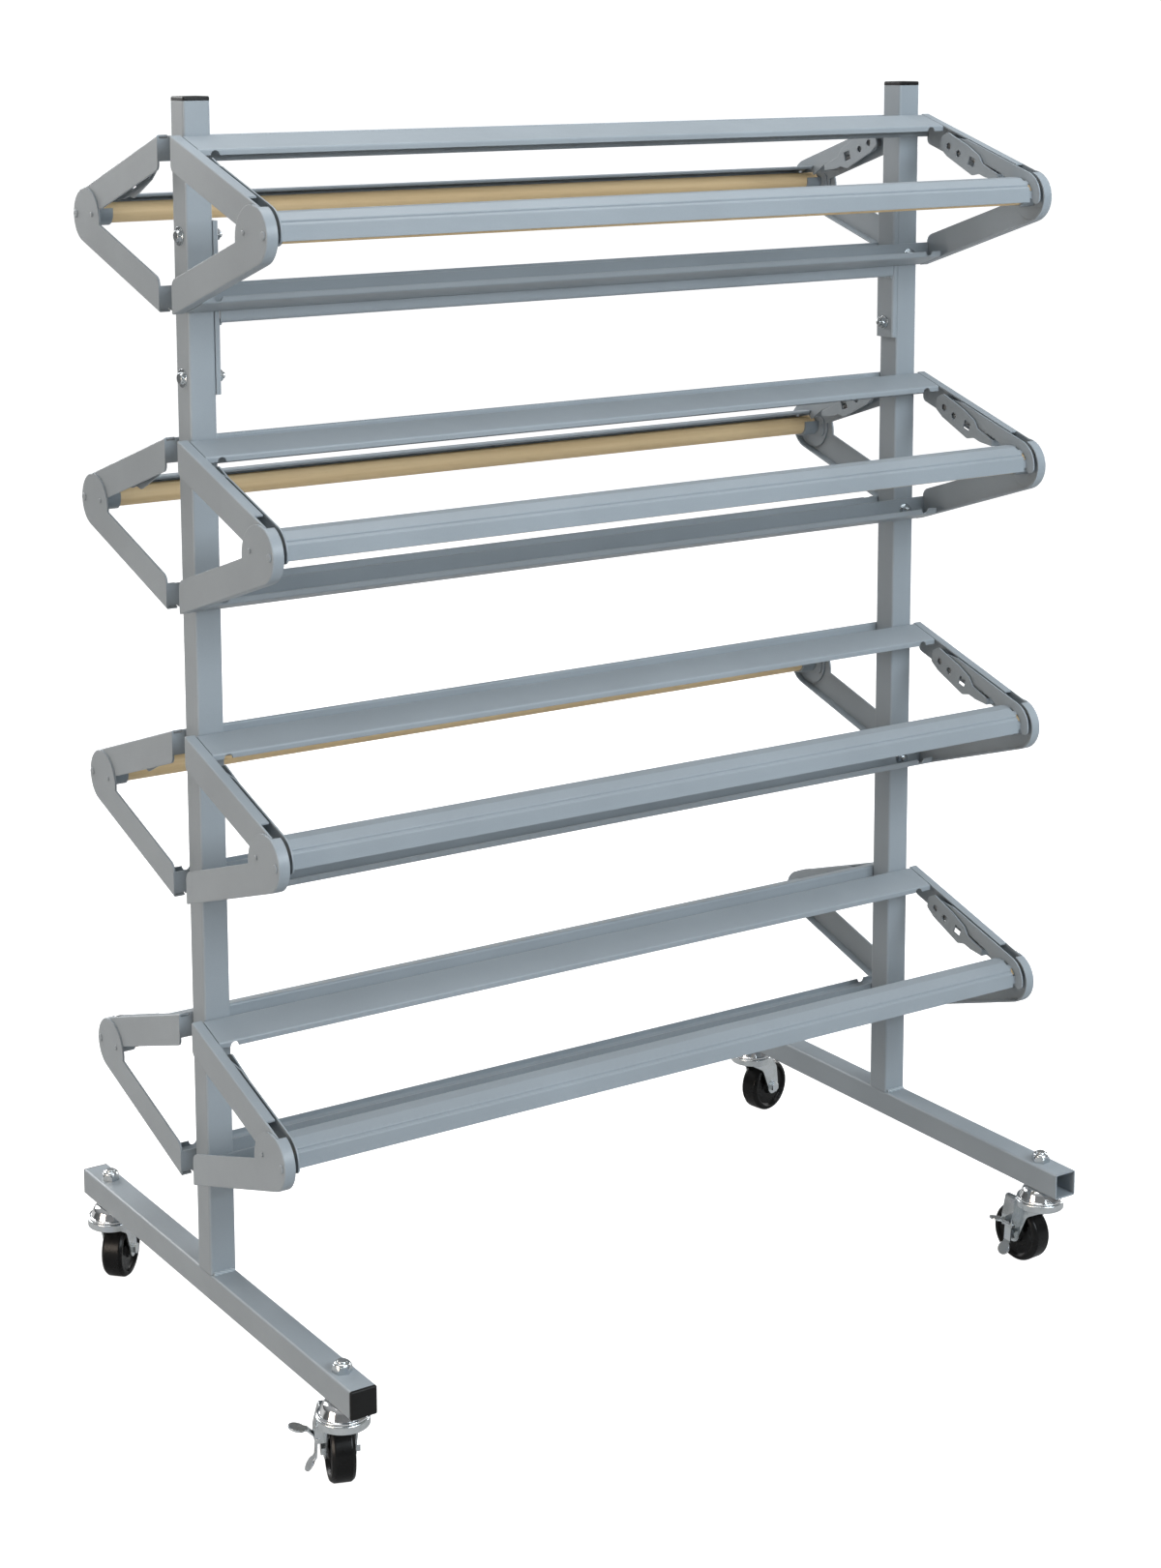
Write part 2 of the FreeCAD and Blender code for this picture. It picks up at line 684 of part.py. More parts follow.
def make_saddles():
    """An open trough under the rod end on a base plate that is riveted to the arms."""
    inner = size("rod_radius") + size("saddle_gap")
    outer = inner + size("saddle_wall")
    start, end = size("saddle_inside"), size("saddle_outside")
    wall_height = 6.0
    below = disc(ROD, outer, start, end)
    walls = Part.makeBox(end - start, 2 * outer, wall_height, Vector(start, ROD.y - outer, ROD.z))
    bore = disc(ROD, inner, start - 1, end + 1)
    slot = Part.makeBox(end - start + 2, 2 * inner, 40, Vector(start - 1, ROD.y - inner, ROD.z))
    top = Part.makeBox(end - start + 2, 60, 40, Vector(start - 1, ROD.y - 30, ROD.z + wall_height))
    trough = below.fuse(walls).cut([bore, slot, top])
    corners = [(192, -14, 8), (246.5, -14, 8), (246.5, 14, 8), (192, 14, 8)]
    base = plate(corners, in_yz, Vector(end, 0, 0), Vector(size("arm_inside") - end, 0, 0))
    saddle = rivet_holes(joined([trough, base]))
    add_shape("rod_saddles", Part.makeCompound(at_all_corners(saddle)))


def make_hub_rivets():
    """A domed rivet and a smaller one clamp both arms and the saddle's base plate together."""
    outside = size("arm_inside") + 2 * size("web_thick")
    inside = size("saddle_outside")
    rivets = []
    for (a, b, radius), head_radius in ((HUB_RIVET, 5.0), (HUB_NUB, 3.0)):
        spot = Vector(0, a, b)
        head = disc(spot, head_radius, outside, outside + 1.6)
        rounded = [edge for edge in head.Edges if edge.BoundBox.XMin > outside + 1.5]
        head = head.makeFillet(1.4, rounded)
        tail = disc(spot, radius + 1.0, inside - 1.0, inside)
        rivets.append(joined([head, disc(spot, radius, inside, outside), tail]))
    pieces = []
    for rivet in rivets:
        pieces += at_all_corners(rivet)
    add_shape("hub_rivets", Part.makeCompound(pieces))


def make_tension_brackets():
    """Cover plate over the cutter's pivot and spring, inboard of the blade arm, with a foot on the web."""
    start, thick = size("lug_inside"), size("lug_thick")
    foot_reach, foot_bottom, foot_top = 175.0, 19.0, 27.0
    corners = [
        (64, 58, 5), (67, 73, 5), (79, 78.5, 6), (118, 62, 10), (139, 50, 5), (147, 38.5, 5),
        (foot_reach, foot_top), (foot_reach, foot_bottom),
        (152, 22, 10), (140, 26, 8), (127, 23.5, 6), (78, 47, 6),
    ]
    cover = plate(corners, in_yz, Vector(start, 0, 0), Vector(thick, 0, 0))
    foot_corner = Vector(start, foot_reach - thick, foot_bottom)
    foot = Part.makeBox(size("arm_inside") - start, thick, foot_top - foot_bottom, foot_corner)
    half_window = 6.0
    window_middle = Vector(0, 126.0, 41.0)
    window = Part.makeBox(10, 2 * half_window, 2 * half_window, Vector(start - 5, -half_window, -half_window))
    window.rotate(ORIGIN, X_AXIS, -size("arm_slope"))
    window.translate(window_middle)
    hole_radius = 4.5
    holes = [disc(centre, hole_radius, start - 5, start + 5) for centre in (PIVOT, SPRING_TAIL)]
    bracket = joined([cover, foot]).cut([window] + holes)
    add_shape("tension_brackets", Part.makeCompound(at_all_corners(bracket)))


def make_pivot_pins():
    """Headed pin that stands on the web's inner side, with a collar behind the blade arm it carries."""
    radius = size("pivot_radius")
    side_play = 0.3
    blade_start = size("blade_inside")
    blade_end = blade_start + size("blade_thick")
    head_thick = 1.4
    head_end = blade_start - side_play
    pin = joined([
        disc(PIVOT, radius, head_end, size("arm_inside")),
        disc(PIVOT, radius + 2.0, head_end - head_thick, head_end),
        disc(PIVOT, radius + 2.0, blade_end + side_play, size("arm_inside")),
    ])
    add_shape("pivot_pins", Part.makeCompound(at_all_corners(pin)))


def make_springs():
    """Close-wound extension spring from the blade arm's tail hole to a stud on the web."""
    x = size("spring_x")
    wire = size("spring_wire") / 2
    coil = size("spring_radius") - wire
    tail = SPRING_TAIL + X_AXIS * x
    anchor = SPRING_ANCHOR + X_AXIS * x
    along = (anchor - tail).normalize()
    across = along.cross(X_AXIS).normalize()
    loop = 9.0
    hook = 0.8
    turns = int((tail.distanceToPoint(anchor) - 2 * loop) / size("spring_wire"))
    length = turns * size("spring_wire")
    first = tail + along * loop
    last = first + along * length
    rings = []
    for turn in range(turns):
        middle = first + along * (turn + 0.5) * size("spring_wire")
        rings.append(Part.makeTorus(coil, wire * 1.02, middle, along))
    core = Part.makeCylinder(coil, length, first, along)
    sleeve = core.cut(Part.makeCylinder(coil - 0.6, length + 2, first - along, along))
    arm_side = size("blade_inside") + size("blade_thick")
    hooks = [
        Part.makeCylinder(hook, loop + 1.5, first + along, -along),
        Part.makeCylinder(hook, x - arm_side - 0.5, tail, -X_AXIS),
        Part.makeCylinder(hook, loop, last - along, along),
    ]
    for spot in (first + along, last - along):
        hooks.append(Part.makeCylinder(hook, 2 * coil, spot - across * coil, across))
    stud = joined([
        disc(SPRING_ANCHOR, 1.95, x - 2, size("arm_inside")),
        disc(SPRING_ANCHOR, 3.4, x - 3.2, x - 2),
    ])
    spring = joined([sleeve.fuse(rings)] + hooks + [stud])
    add_shape("tension_springs", Part.makeCompound(at_all_corners(spring)))


def make_rods():
    """Wooden rods that rest in the saddles. Their ends are eased."""
    for face, way in FACES:
        for level in range(4):
            name = "roll_rod_%s_%d" % (face, level + 1)
            rod = doc.addObject("Part::Cylinder", name + "_round")
            rod.setExpression("Radius", "Sizes.rod_radius")
            rod.setExpression("Height", "2 * Sizes.rod_half_length")
            rod.Placement.Rotation = Rotation(Z_AXIS, X_AXIS)
            rod.setExpression("Placement.Base.x", "-Sizes.rod_half_length")
            rod.setExpression("Placement.Base.y", "%d * Sizes.hub_reach" % way)
            height = "Sizes.top_hub - %d * Sizes.hub_pitch + Sizes.rod_lift" % level
            rod.setExpression("Placement.Base.z", height)
            doc.recompute()
            ends = []
            for index, edge in enumerate(rod.Shape.Edges, start=1):
                if edge.BoundBox.XLength < 0.01:
                    ends.append((index, 1.0, 1.0))
            eased = doc.addObject("Part::Chamfer", name)
            eased.Label = name
            eased.Base = rod
            eased.Edges = ends
            keep(eased)


def cutter_bar():
    """Bent sheet over the rod, with a groove and a bead along its front, joined to each arm by three tabs."""
    reach = size("hub_reach")
    half = size("cutter_half_length")
    inside = size("blade_inside")
    path = (
        (-15.5, 20.0), (-18.5, 24.5), (1.0, 23.5), (14.2, 16.0), (13.8, 13.6), (17.6, 11.6), (18.6, -6.5),
    )
    corners = sheet_section([(reach + a, b) for a, b in path], size("cutter_sheet"), 0.4, -1)
    bar = plate(corners, in_yz, Vector(-inside, 0, 0), Vector(2 * inside, 0, 0))
    # boxes that leave only the tabs between the bar's full length and the arms
    between_tabs = ((-25, 15, 11, 12), (-2, 18, 8, 8), (11, 8, 10, 9), (14, -8, 8, 6))
    gaps = []
    for start in (-inside, half):
        for a, b, width, height in between_tabs:
            gaps.append(Part.makeBox(inside - half, width, height, Vector(start, reach + a, b)))
    return bar.cut(gaps)


def blade_arm():
    """Flat arm from the pivot along the upper arm's flange, with a round hook in front of the rod."""
    start, thick = size("blade_inside"), size("blade_thick")
    end = start + thick
    boss_radius = 12.0
    tail_hole = 1.8
    outer, inner = size("hook_radius"), size("hook_inside")
    middle = (outer + inner) / 2
    tip_turn = math.radians(-8)
    tip = ROD + Vector(0, math.cos(tip_turn), math.sin(tip_turn)) * middle
    out = Vector(0, math.sin(SLOPE), math.cos(SLOPE))
    tangent = ROD + out * outer
    far = 112.0
    far_height = tangent.z + math.tan(SLOPE) * (tangent.y - far)
    corners = [
        (81, 72), (far, far_height), (tangent.y, tangent.z), (ROD.y, ROD.z),
        (180, 27), (141, 41, 12), (81, 48),
    ]
    arm = plate(corners, in_yz, Vector(start, 0, 0), Vector(thick, 0, 0))
    hook = ring_sector(ROD, outer, inner, math.degrees(tip_turn), 90.0)
    hook.translate(Vector(start, 0, 0))
    arm = joined([
        arm,
        disc(PIVOT, boss_radius, start, end),
        hook.extrude(Vector(thick, 0, 0)),
        disc(tip, outer - middle, start, end),
    ])
    return arm.cut([
        disc(ROD, inner, start - 1, end + 1),
        disc(PIVOT, size("pivot_radius") + size("running_gap"), start - 1, end + 1),
        disc(SPRING_TAIL, tail_hole, start - 1, end + 1),
    ])


def make_cutters():
    """Cutter bar over each rod and the pair of hooked blade arms that carry it."""
    bar, arm = cutter_bar(), blade_arm()
    pair = Part.makeCompound([arm, arm.mirror(ORIGIN, X_AXIS)])
    for face, way in FACES:
        for level, hub in enumerate(HUBS, start=1):
            for label, shape in (("cutter_bar", bar), ("blade_arms", pair)):
                copy = shape.copy() if way > 0 else shape.mirror(ORIGIN, Y_AXIS)
                copy.translate(Vector(0, 0, hub))
                add_shape("%s_%s_%d" % (label, face, level), copy)


# ---------------------------------------------------------------- casters
# Drawn with the stem on the Z axis and the wheel trailing along +X, then turned to its heading.

NUT_ROOM = 0.03
BRAKE_HALF_WIDTH = 9.0
BRAKE_WALL = 1.8


def caster_places():
    """Name, stem place and heading of each caster."""
    spread = size("stem_spread")
    for face, way in FACES:
        for side, sign in SIDES:
            name = face + "_" + side
            yield name, Vector(sign * size("upright_x"), way * spread, 0), size("heading_" + name)


def put_caster(shape, place, heading):
    copy = shape.copy()
    copy.rotate(ORIGIN, Z_AXIS, heading)
    copy.translate(place)
    return copy


def caster_stem():
    """Threaded stem through the foot, headed under the fork crown."""
    crown_bottom = size("crown_top") - size("crown_thick")
    radius = size("stem_radius")
    head_top = crown_bottom - size("crown_gap")
    head_bottom = head_top - 3.5
    head_radius = radius + 4
    tip = FOOT_TOP + size("stem_rise")
    return turned_profile([
        (0, head_bottom), (head_radius, head_bottom, 1.5), (head_radius, head_top), (radius, head_top),
        (radius, tip, 0.8), (0, tip),
    ])


def caster_stem_nut():
    """Lock nut with a rounded collar, on top of the foot."""
    across_flats = 20.5
    body_height, height = 8.6, 11.4
    collar = turned_profile([(0, 0), (10, 0), (10, height, 3.5), (0, height)])
    body = hexagon(across_flats, body_height, ORIGIN, Z_AXIS)
    body = body.common(Part.makeCone(across_flats * 0.66, across_flats * 0.51, body_height))
    bore = Part.makeCylinder(size("stem_radius") + NUT_ROOM, 40, Vector(0, 0, -5))
    nut = joined([body, collar]).cut(bore)
    nut.translate(Vector(0, 0, FOOT_TOP))
    return nut


def caster_raceway():
    """Domed cap over the swivel bearing with a thin ring below it."""
    low = size("crown_top") + size("crown_gap")
    hole = size("stem_radius") + NUT_ROOM
    top = size("caster_height")
    ring = size("crown_radius") - 1
    ring_top = low + 2.7
    return turned_profile([
        (hole, low), (ring, low, 1.0), (ring, ring_top, 1.0), (ring - 3, ring_top),
        (21.5, top, 9.0), (hole, top),
    ])


def caster_fork():
    """Round crown with a rolled-down rim, and two legs that sweep back to the axle."""
    top = size("crown_top")
    bottom = top - size("crown_thick")
    hole = size("stem_radius") + size("running_gap")
    edge = size("crown_radius")
    rim, rim_bottom = edge - 3, bottom - 4.5
    crown = turned_profile([
        (hole, bottom), (rim, bottom), (rim, rim_bottom), (edge, rim_bottom, 1.2),
        (edge, top, 1.6), (hole, top),
    ])
    axle_height = size("wheel_radius")
    trail = size("wheel_trail")
    end = 11.0
    corners = [
        (-23, bottom + 2), (23, bottom + 2), (trail + end - 3, rim_bottom - 16, 14),
        (trail + end, axle_height + 6, 20), (trail + end, axle_height), (trail - end, axle_height),
        (6, bottom - 20, 16), (-23, rim_bottom + 1, 2),
    ]
    inside, leg_thick = size("leg_inside"), size("leg_thick")
    leg = plate(corners, in_xz, Vector(0, inside, 0), Vector(0, leg_thick, 0))
    foot = Part.makeCylinder(end, leg_thick, Vector(trail, inside, axle_height), Y_AXIS)
    axle_hole = Part.makeCylinder(size("axle_radius") + 0.1, 60, Vector(trail, -30, axle_height), Y_AXIS)
    leg = leg.fuse(foot)
    return joined([crown, leg, leg.mirror(ORIGIN, Y_AXIS)]).cut(axle_hole)


def brake_housing():
    """Channel on the outside of one leg with two ears that hold the lever's pin."""
    inside = size("leg_inside") + size("leg_thick")
    side, lift = size("brake_pivot_side"), size("brake_pivot_lift")
    trail = size("wheel_trail")
    top = size("crown_top") - 2
    wall = BRAKE_WALL
    half = BRAKE_HALF_WIDTH
    ear = side + 3.5
    section = [
        (inside - 1, top), (inside + 5, top, 3), (ear, lift + 12, 4),
        (ear, lift - 4.5, 4), (inside - 1, lift - 4.5),
    ]
    body = plate(section, in_yz, Vector(trail - half, 0, 0), Vector(2 * half, 0, 0))
    hollow_section = [
        (inside - 2, top - wall), (inside + 4, top - wall), (ear - wall, lift + 11), (ear - wall, lift + 8),
        (ear + 6, lift + 8), (ear + 6, lift - 12), (inside - 2, lift - 12),
    ]
    hollow = plate(hollow_section, in_yz, Vector(trail - half + wall, 0, 0), Vector(2 * (half - wall), 0, 0))
    radius = size("brake_pin_radius")
    pin_hole = rod_along_x(radius, trail - 2 * half, trail + 2 * half, side, lift)
    pin = rod_along_x(radius, trail - half - 1, trail + half + 1, side, lift)
    return joined([body.cut([hollow, pin_hole]), pin])


def lever_tab(start, angle, reach, half_width, lobe):
    """Flat tab from start at an angle above outward, half_width wide, with a round lobe at its end."""
    thick = 2.0
    tab = Part.makeBox(2 * half_width, reach, thick, Vector(-half_width, 0, -thick / 2))
    if lobe > 0:
        tab = tab.fuse(Part.makeCylinder(lobe, thick, Vector(0, reach, -thick / 2)))
    tab.rotate(ORIGIN, X_AXIS, angle)
    tab.translate(start)
    return tab


def brake_lever():
    """Rocker on a small barrel round its pin. Each foot tab runs along the caster, then flares outward."""
    side, lift = size("brake_pivot_side"), size("brake_pivot_lift")
    trail = size("wheel_trail")
    half = BRAKE_HALF_WIDTH - BRAKE_WALL - 0.3
    pivot = Vector(trail, side, lift)
    neck = 5.5
    pieces = [rod_along_x(3.6, trail - half, trail + half, side, lift)]
    tabs = ((44.0, 15.0, 14.0, 12.0, 10.0), (-86.0, 23.0, -55.0, 11.0, 9.0))
    for neck_angle, neck_reach, flare_angle, flare_reach, lobe in tabs:
        turn = math.radians(neck_angle)
        bend = pivot + Vector(0, math.cos(turn), math.sin(turn)) * neck_reach
        pieces.append(lever_tab(pivot, neck_angle, neck_reach + 0.3, neck, 0))
        pieces.append(rod_along_x(1.0, trail - neck, trail + neck, bend.y, bend.z))
        pieces.append(lever_tab(bend, flare_angle, flare_reach, neck, lobe))
    bore = rod_along_x(size("brake_pin_radius") + size("running_gap"), trail - 20, trail + 20, side, lift)
    return joined(pieces).cut(bore)


def caster_axle():
    """Bolt through the legs with a low head and a low nut."""
    trail, height = size("wheel_trail"), size("wheel_radius")
    outside = size("leg_inside") + size("leg_thick")
    shank = Part.makeCylinder(size("axle_radius"), 2 * outside, Vector(trail, -outside, height), Y_AXIS)
    head = hexagon(13.0, 3.6, Vector(trail, outside, height), Y_AXIS)
    nut = hexagon(13.0, 5.0, Vector(trail, -outside, height), -Y_AXIS)
    return joined([shank, head, nut])


def caster_wheel():
    """Moulded wheel with a rounded tread, dished sides and a hub."""
    radius, half = size("wheel_radius"), size("wheel_width") / 2
    bore = size("axle_radius") + size("running_gap")
    dish = half - 4
    shoulder = half - 4
    one_side = [
        (bore, half), (11, half, 1), (13, dish, 1.5), (29, dish, 1.5), (31, half, 1), (radius - 3, half, 2),
        (radius, shoulder, 3),
    ]
    mirrored = [(corner[0], -corner[1]) + corner[2:] for corner in one_side]
    wheel = turned_profile(mirrored + one_side[::-1])
    return stand_on(wheel, Vector(size("wheel_trail"), 0, radius), Y_AXIS)


def make_casters():
    stems, nuts, raceways = [], [], []
    fork, axle, wheel = caster_fork(), caster_axle(), caster_wheel()
    braked_fork = joined([fork, brake_housing()])
    lever = brake_lever()
    for name, place, heading in caster_places():
        stems.append(put_caster(caster_stem(), place, heading))
        nuts.append(put_caster(caster_stem_nut(), place, heading))
        raceways.append(put_caster(caster_raceway(), place, heading))
        braked = name.startswith("front")
        add_shape("caster_fork_" + name, put_caster(braked_fork if braked else fork, place, heading))
        add_shape("caster_axle_" + name, put_caster(axle, place, heading))
        add_shape("caster_wheel_" + name, put_caster(wheel, place, heading))
        if braked:
            add_shape("brake_lever_" + name, put_caster(lever, place, heading))
    add_shape("caster_stems", Part.makeCompound(stems))
    add_shape("caster_stem_nuts", Part.makeCompound(nuts))
    add_shape("caster_raceways", Part.makeCompound(raceways))


# ---------------------------------------------------------------- build, check and write

make_uprights()
make_feet()
make_plugs()
make_stretcher()
make_welds()
make_fasteners()
make_upper_arms()
make_lower_arms()
make_cross_bars()
make_saddles()
make_hub_rivets()
make_tension_brackets()
make_pivot_pins()
make_springs()
make_rods()
make_cutters()
make_casters()
doc.recompute()

for item in doc.Objects:
    if "Invalid" in item.State or "Error" in item.State:
        raise RuntimeError(item.Label + " failed: " + str(item.State))
for node in NODES:
    if node.Shape.isNull() or not node.Shape.isValid():
        raise RuntimeError(node.Label + " has no valid shape")
for node in NODES:
    node.Shape.exportStep("parts/" + node.Label + ".step")
print(len(NODES), "pieces")
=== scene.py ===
import itertools
import json
import math

import bmesh
import bpy
from mathutils import Matrix, Vector


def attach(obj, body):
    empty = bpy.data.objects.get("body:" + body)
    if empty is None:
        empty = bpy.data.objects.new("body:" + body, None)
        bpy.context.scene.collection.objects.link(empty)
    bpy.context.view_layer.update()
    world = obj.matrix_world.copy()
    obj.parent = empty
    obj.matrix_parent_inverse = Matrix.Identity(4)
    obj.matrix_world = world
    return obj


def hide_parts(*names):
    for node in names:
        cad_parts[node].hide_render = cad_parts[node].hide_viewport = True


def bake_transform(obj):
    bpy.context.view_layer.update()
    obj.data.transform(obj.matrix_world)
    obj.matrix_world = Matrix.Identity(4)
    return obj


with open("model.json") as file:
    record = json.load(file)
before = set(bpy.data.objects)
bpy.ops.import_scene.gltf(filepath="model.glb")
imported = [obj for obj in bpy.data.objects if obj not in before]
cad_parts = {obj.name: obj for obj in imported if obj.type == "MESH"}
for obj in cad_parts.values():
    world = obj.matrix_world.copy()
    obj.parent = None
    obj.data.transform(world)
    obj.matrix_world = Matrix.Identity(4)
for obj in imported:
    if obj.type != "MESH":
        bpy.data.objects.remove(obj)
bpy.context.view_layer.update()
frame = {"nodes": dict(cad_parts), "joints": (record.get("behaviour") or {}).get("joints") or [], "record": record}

# The CAD model's joints by name, and the ends of the dispensers, which have a spring each.
# A face and a side carry the sign of their axis: Y for the faces and X for the sides.
JOINTS = {joint["name"]: joint for joint in frame["joints"]}
FACES = {"front": -1, "back": 1}
LEVELS = (1, 2, 3, 4)
SIDES = {"left": -1, "right": 1}
DISPENSER_ENDS = tuple(itertools.product(FACES, LEVELS, SIDES))

# The springs, in metres. A hook's spot is from the cutter's pivot: out from the rack's middle
# plane, and up. An X is from the rack's middle.
TAIL_SPOT = (0.019, -0.009)
ANCHOR_SPOT = (0.079, -0.036)
SPRING_X = 0.5525
HOOK_TIP_X = 0.5427
WEB_X = 0.559
WIRE_RADIUS = 0.0008
COIL_RADIUS = 0.0042
COIL_TURNS = 28
COIL_STEPS = 12             # straight runs in each turn
COIL_MARGIN = 0.009         # from each hook to the coil
COIL_LEAD = 0.0006          # from the hook's wire to the first turn
HOOK_TIP = 0.0042           # the tip turned back behind the blade arm
HOOK_RUN = 0.0052           # the wire in front of the blade arm
EYE_RADIUS = 0.0030
EYE_NECK = 0.004            # from the coil to the eye
EYE_HALF_TURNS = 1.6
EYE_STEPS = 8
BEND_RUN = 0.0016           # how far a bend reaches along the wire
BEND_STEPS = 5

# A spring's stud, head first: each ring's radius, and its distance out from the arm's web.
STUD_PROFILE = (
    (0.0, -0.0103), (0.0028, -0.0103), (0.0033, -0.0099), (0.0034, -0.0094), (0.0034, -0.0092),
    (0.0020, -0.0090), (0.0019, -0.0085), (0.0019, -0.0006), (0.0026, 0.0), (0.0, 0.0),
)
STUD_SIDES = 20
STUD_CREASE = math.radians(40)


# ---------------------------------------------------------------- node helpers

def new_material(name):
    """An empty node material with its output and a Principled shader joined up."""
    material = bpy.data.materials.new(name)
    material.use_nodes = True
    tree = material.node_tree
    tree.nodes.clear()
    output = tree.nodes.new("ShaderNodeOutputMaterial")
    shader = tree.nodes.new("ShaderNodeBsdfPrincipled")
    tree.links.new(shader.outputs["BSDF"], output.inputs["Surface"])
    return material, tree, shader


def place(tree, scale=(1.0, 1.0, 1.0)):
    """Object coordinates stretched by scale, as a vector socket."""
    coordinates = tree.nodes.new("ShaderNodeTexCoord")
    mapping = tree.nodes.new("ShaderNodeMapping")
    mapping.inputs["Scale"].default_value = scale
    tree.links.new(coordinates.outputs["Object"], mapping.inputs["Vector"])
    return mapping.outputs["Vector"]


def noise(tree, vector, scale, detail=3.0, rough=0.5):
    """Cloudy noise of 0..1 over a vector socket."""
    node = tree.nodes.new("ShaderNodeTexNoise")
    node.inputs["Scale"].default_value = scale
    node.inputs["Detail"].default_value = detail
    node.inputs["Roughness"].default_value = rough
    tree.links.new(vector, node.inputs["Vector"])
    return node.outputs["Fac"]


def ramp(tree, value, stops):
    """A colour ramp with (position, grey or colour) stops."""
    node = tree.nodes.new("ShaderNodeValToRGB")
    elements = node.color_ramp.elements
    while len(elements) < len(stops):
        elements.new(0.5)
    for element, (position, colour) in zip(elements, stops):
        red, green, blue = colour if isinstance(colour, tuple) else (colour, colour, colour)
        element.position = position
        element.color = (red, green, blue, 1.0)
    tree.links.new(value, node.inputs["Fac"])
    return node.outputs["Color"]


def span(tree, value, low, high):
    """A 0..1 value brought to low..high."""
    node = tree.nodes.new("ShaderNodeMapRange")
    node.inputs["To Min"].default_value = low
    node.inputs["To Max"].default_value = high
    tree.links.new(value, node.inputs["Value"])
    return node.outputs["Result"]


def multiply(tree, first, second, amount=1.0):
    """The first colour darkened by the second, by the given amount."""
    node = tree.nodes.new("ShaderNodeMix")
    node.data_type = "RGBA"
    node.blend_type = "MULTIPLY"
    node.inputs["Factor"].default_value = amount
    tree.links.new(first, node.inputs["A"])
    tree.links.new(second, node.inputs["B"])
    return node.outputs["Result"]


def soft_edges(tree, radius):
    """A normal that rounds sharp sheet edges."""
    node = tree.nodes.new("ShaderNodeBevel")
    node.samples = 4
    node.inputs["Radius"].default_value = radius
    return node.outputs["Normal"]


def bump(tree, shader, height, distance, strength, normal=None):
    """Fine relief on a shader, over a given normal or the surface's own."""
    node = tree.nodes.new("ShaderNodeBump")
    node.inputs["Distance"].default_value = distance
    node.inputs["Strength"].default_value = strength
    tree.links.new(height, node.inputs["Height"])
    if normal is not None:
        tree.links.new(normal, node.inputs["Normal"])
    tree.links.new(node.outputs["Normal"], shader.inputs["Normal"])


# ---------------------------------------------------------------- materials

def enamel():
    """Blue-grey enamel: faint cloudiness, a fine orange-peel skin and soft edges."""
    material, tree, shader = new_material("enamel")
    tint = (0.248, 0.281, 0.308)
    plain = place(tree)
    cloud = noise(tree, plain, scale=7.0, detail=4.0)
    darker = tuple(0.94 * channel for channel in tint)
    lighter = tuple(1.05 * channel for channel in tint)
    shade = ramp(tree, cloud, ((0.3, darker), (0.7, lighter)))
    speck = ramp(tree, noise(tree, plain, scale=900.0, detail=2.0), ((0.35, 0.97), (0.6, 1.0)))
    tree.links.new(multiply(tree, shade, speck), shader.inputs["Base Color"])
    polish = span(tree, noise(tree, plain, scale=45.0), low=0.36, high=0.50)
    tree.links.new(polish, shader.inputs["Roughness"])
    shader.inputs["Specular IOR Level"].default_value = 0.45
    skin = noise(tree, plain, scale=650.0, detail=2.0)
    edges = soft_edges(tree, radius=0.0009)
    bump(tree, shader, skin, distance=0.00015, strength=0.35, normal=edges)
    return material


def weld_enamel():
    """Enamel over a rippled bead of weld metal, with a painted highlight on the ripple's raised crests."""
    material, tree, shader = new_material("weld_enamel")
    ripple_trough_tone, crest_highlight_tone = (0.25, 0.29, 0.32), (0.33, 0.37, 0.40)
    ripple = tree.nodes.new("ShaderNodeTexWave")
    ripple.wave_type = "BANDS"
    ripple.bands_direction = "DIAGONAL"
    ripple.inputs["Scale"].default_value = 95.0
    ripple.inputs["Distortion"].default_value = 1.5
    ripple.inputs["Detail"].default_value = 2.0
    tree.links.new(place(tree), ripple.inputs["Vector"])
    # The ripple's raised crests are painted lighter than its troughs: a painted highlight that follows the bump
    # below.
    shade = ramp(tree, ripple.outputs["Fac"], ((0.2, ripple_trough_tone), (0.8, crest_highlight_tone)))
    tree.links.new(shade, shader.inputs["Base Color"])
    shader.inputs["Roughness"].default_value = 0.42
    bump(tree, shader, ripple.outputs["Fac"], distance=0.0006, strength=0.8)
    return material


def beech():
    """Pale sanded beech: soft grain along X, short darker flecks and a slow change over the rods."""
    material, tree, shader = new_material("beech")
    deep, middle, pale = (0.65, 0.475, 0.255), (0.73, 0.545, 0.31), (0.79, 0.61, 0.36)
    ruddy = (0.93, 0.91, 0.88)
    grain = noise(tree, place(tree, (2.2, 110.0, 110.0)), scale=1.0, detail=5.0, rough=0.6)
    tone = ramp(tree, grain, ((0.28, deep), (0.52, middle), (0.76, pale)))
    fleck = noise(tree, place(tree, (60.0, 1100.0, 1100.0)), scale=1.0, detail=1.0)
    flecks = ramp(tree, fleck, ((0.28, 0.93), (0.42, 1.0)))
    patch = noise(tree, place(tree, (0.6, 3.0, 3.0)), scale=1.0, detail=1.0)
    drift = ramp(tree, patch, ((0.3, ruddy), (0.7, 1.0)))
    wood = multiply(tree, multiply(tree, tone, flecks, amount=0.8), drift)
    tree.links.new(wood, shader.inputs["Base Color"])
    tree.links.new(span(tree, grain, low=0.50, high=0.66), shader.inputs["Roughness"])
    shader.inputs["Specular IOR Level"].default_value = 0.35
    bump(tree, shader, grain, distance=0.0003, strength=0.25)
    return material


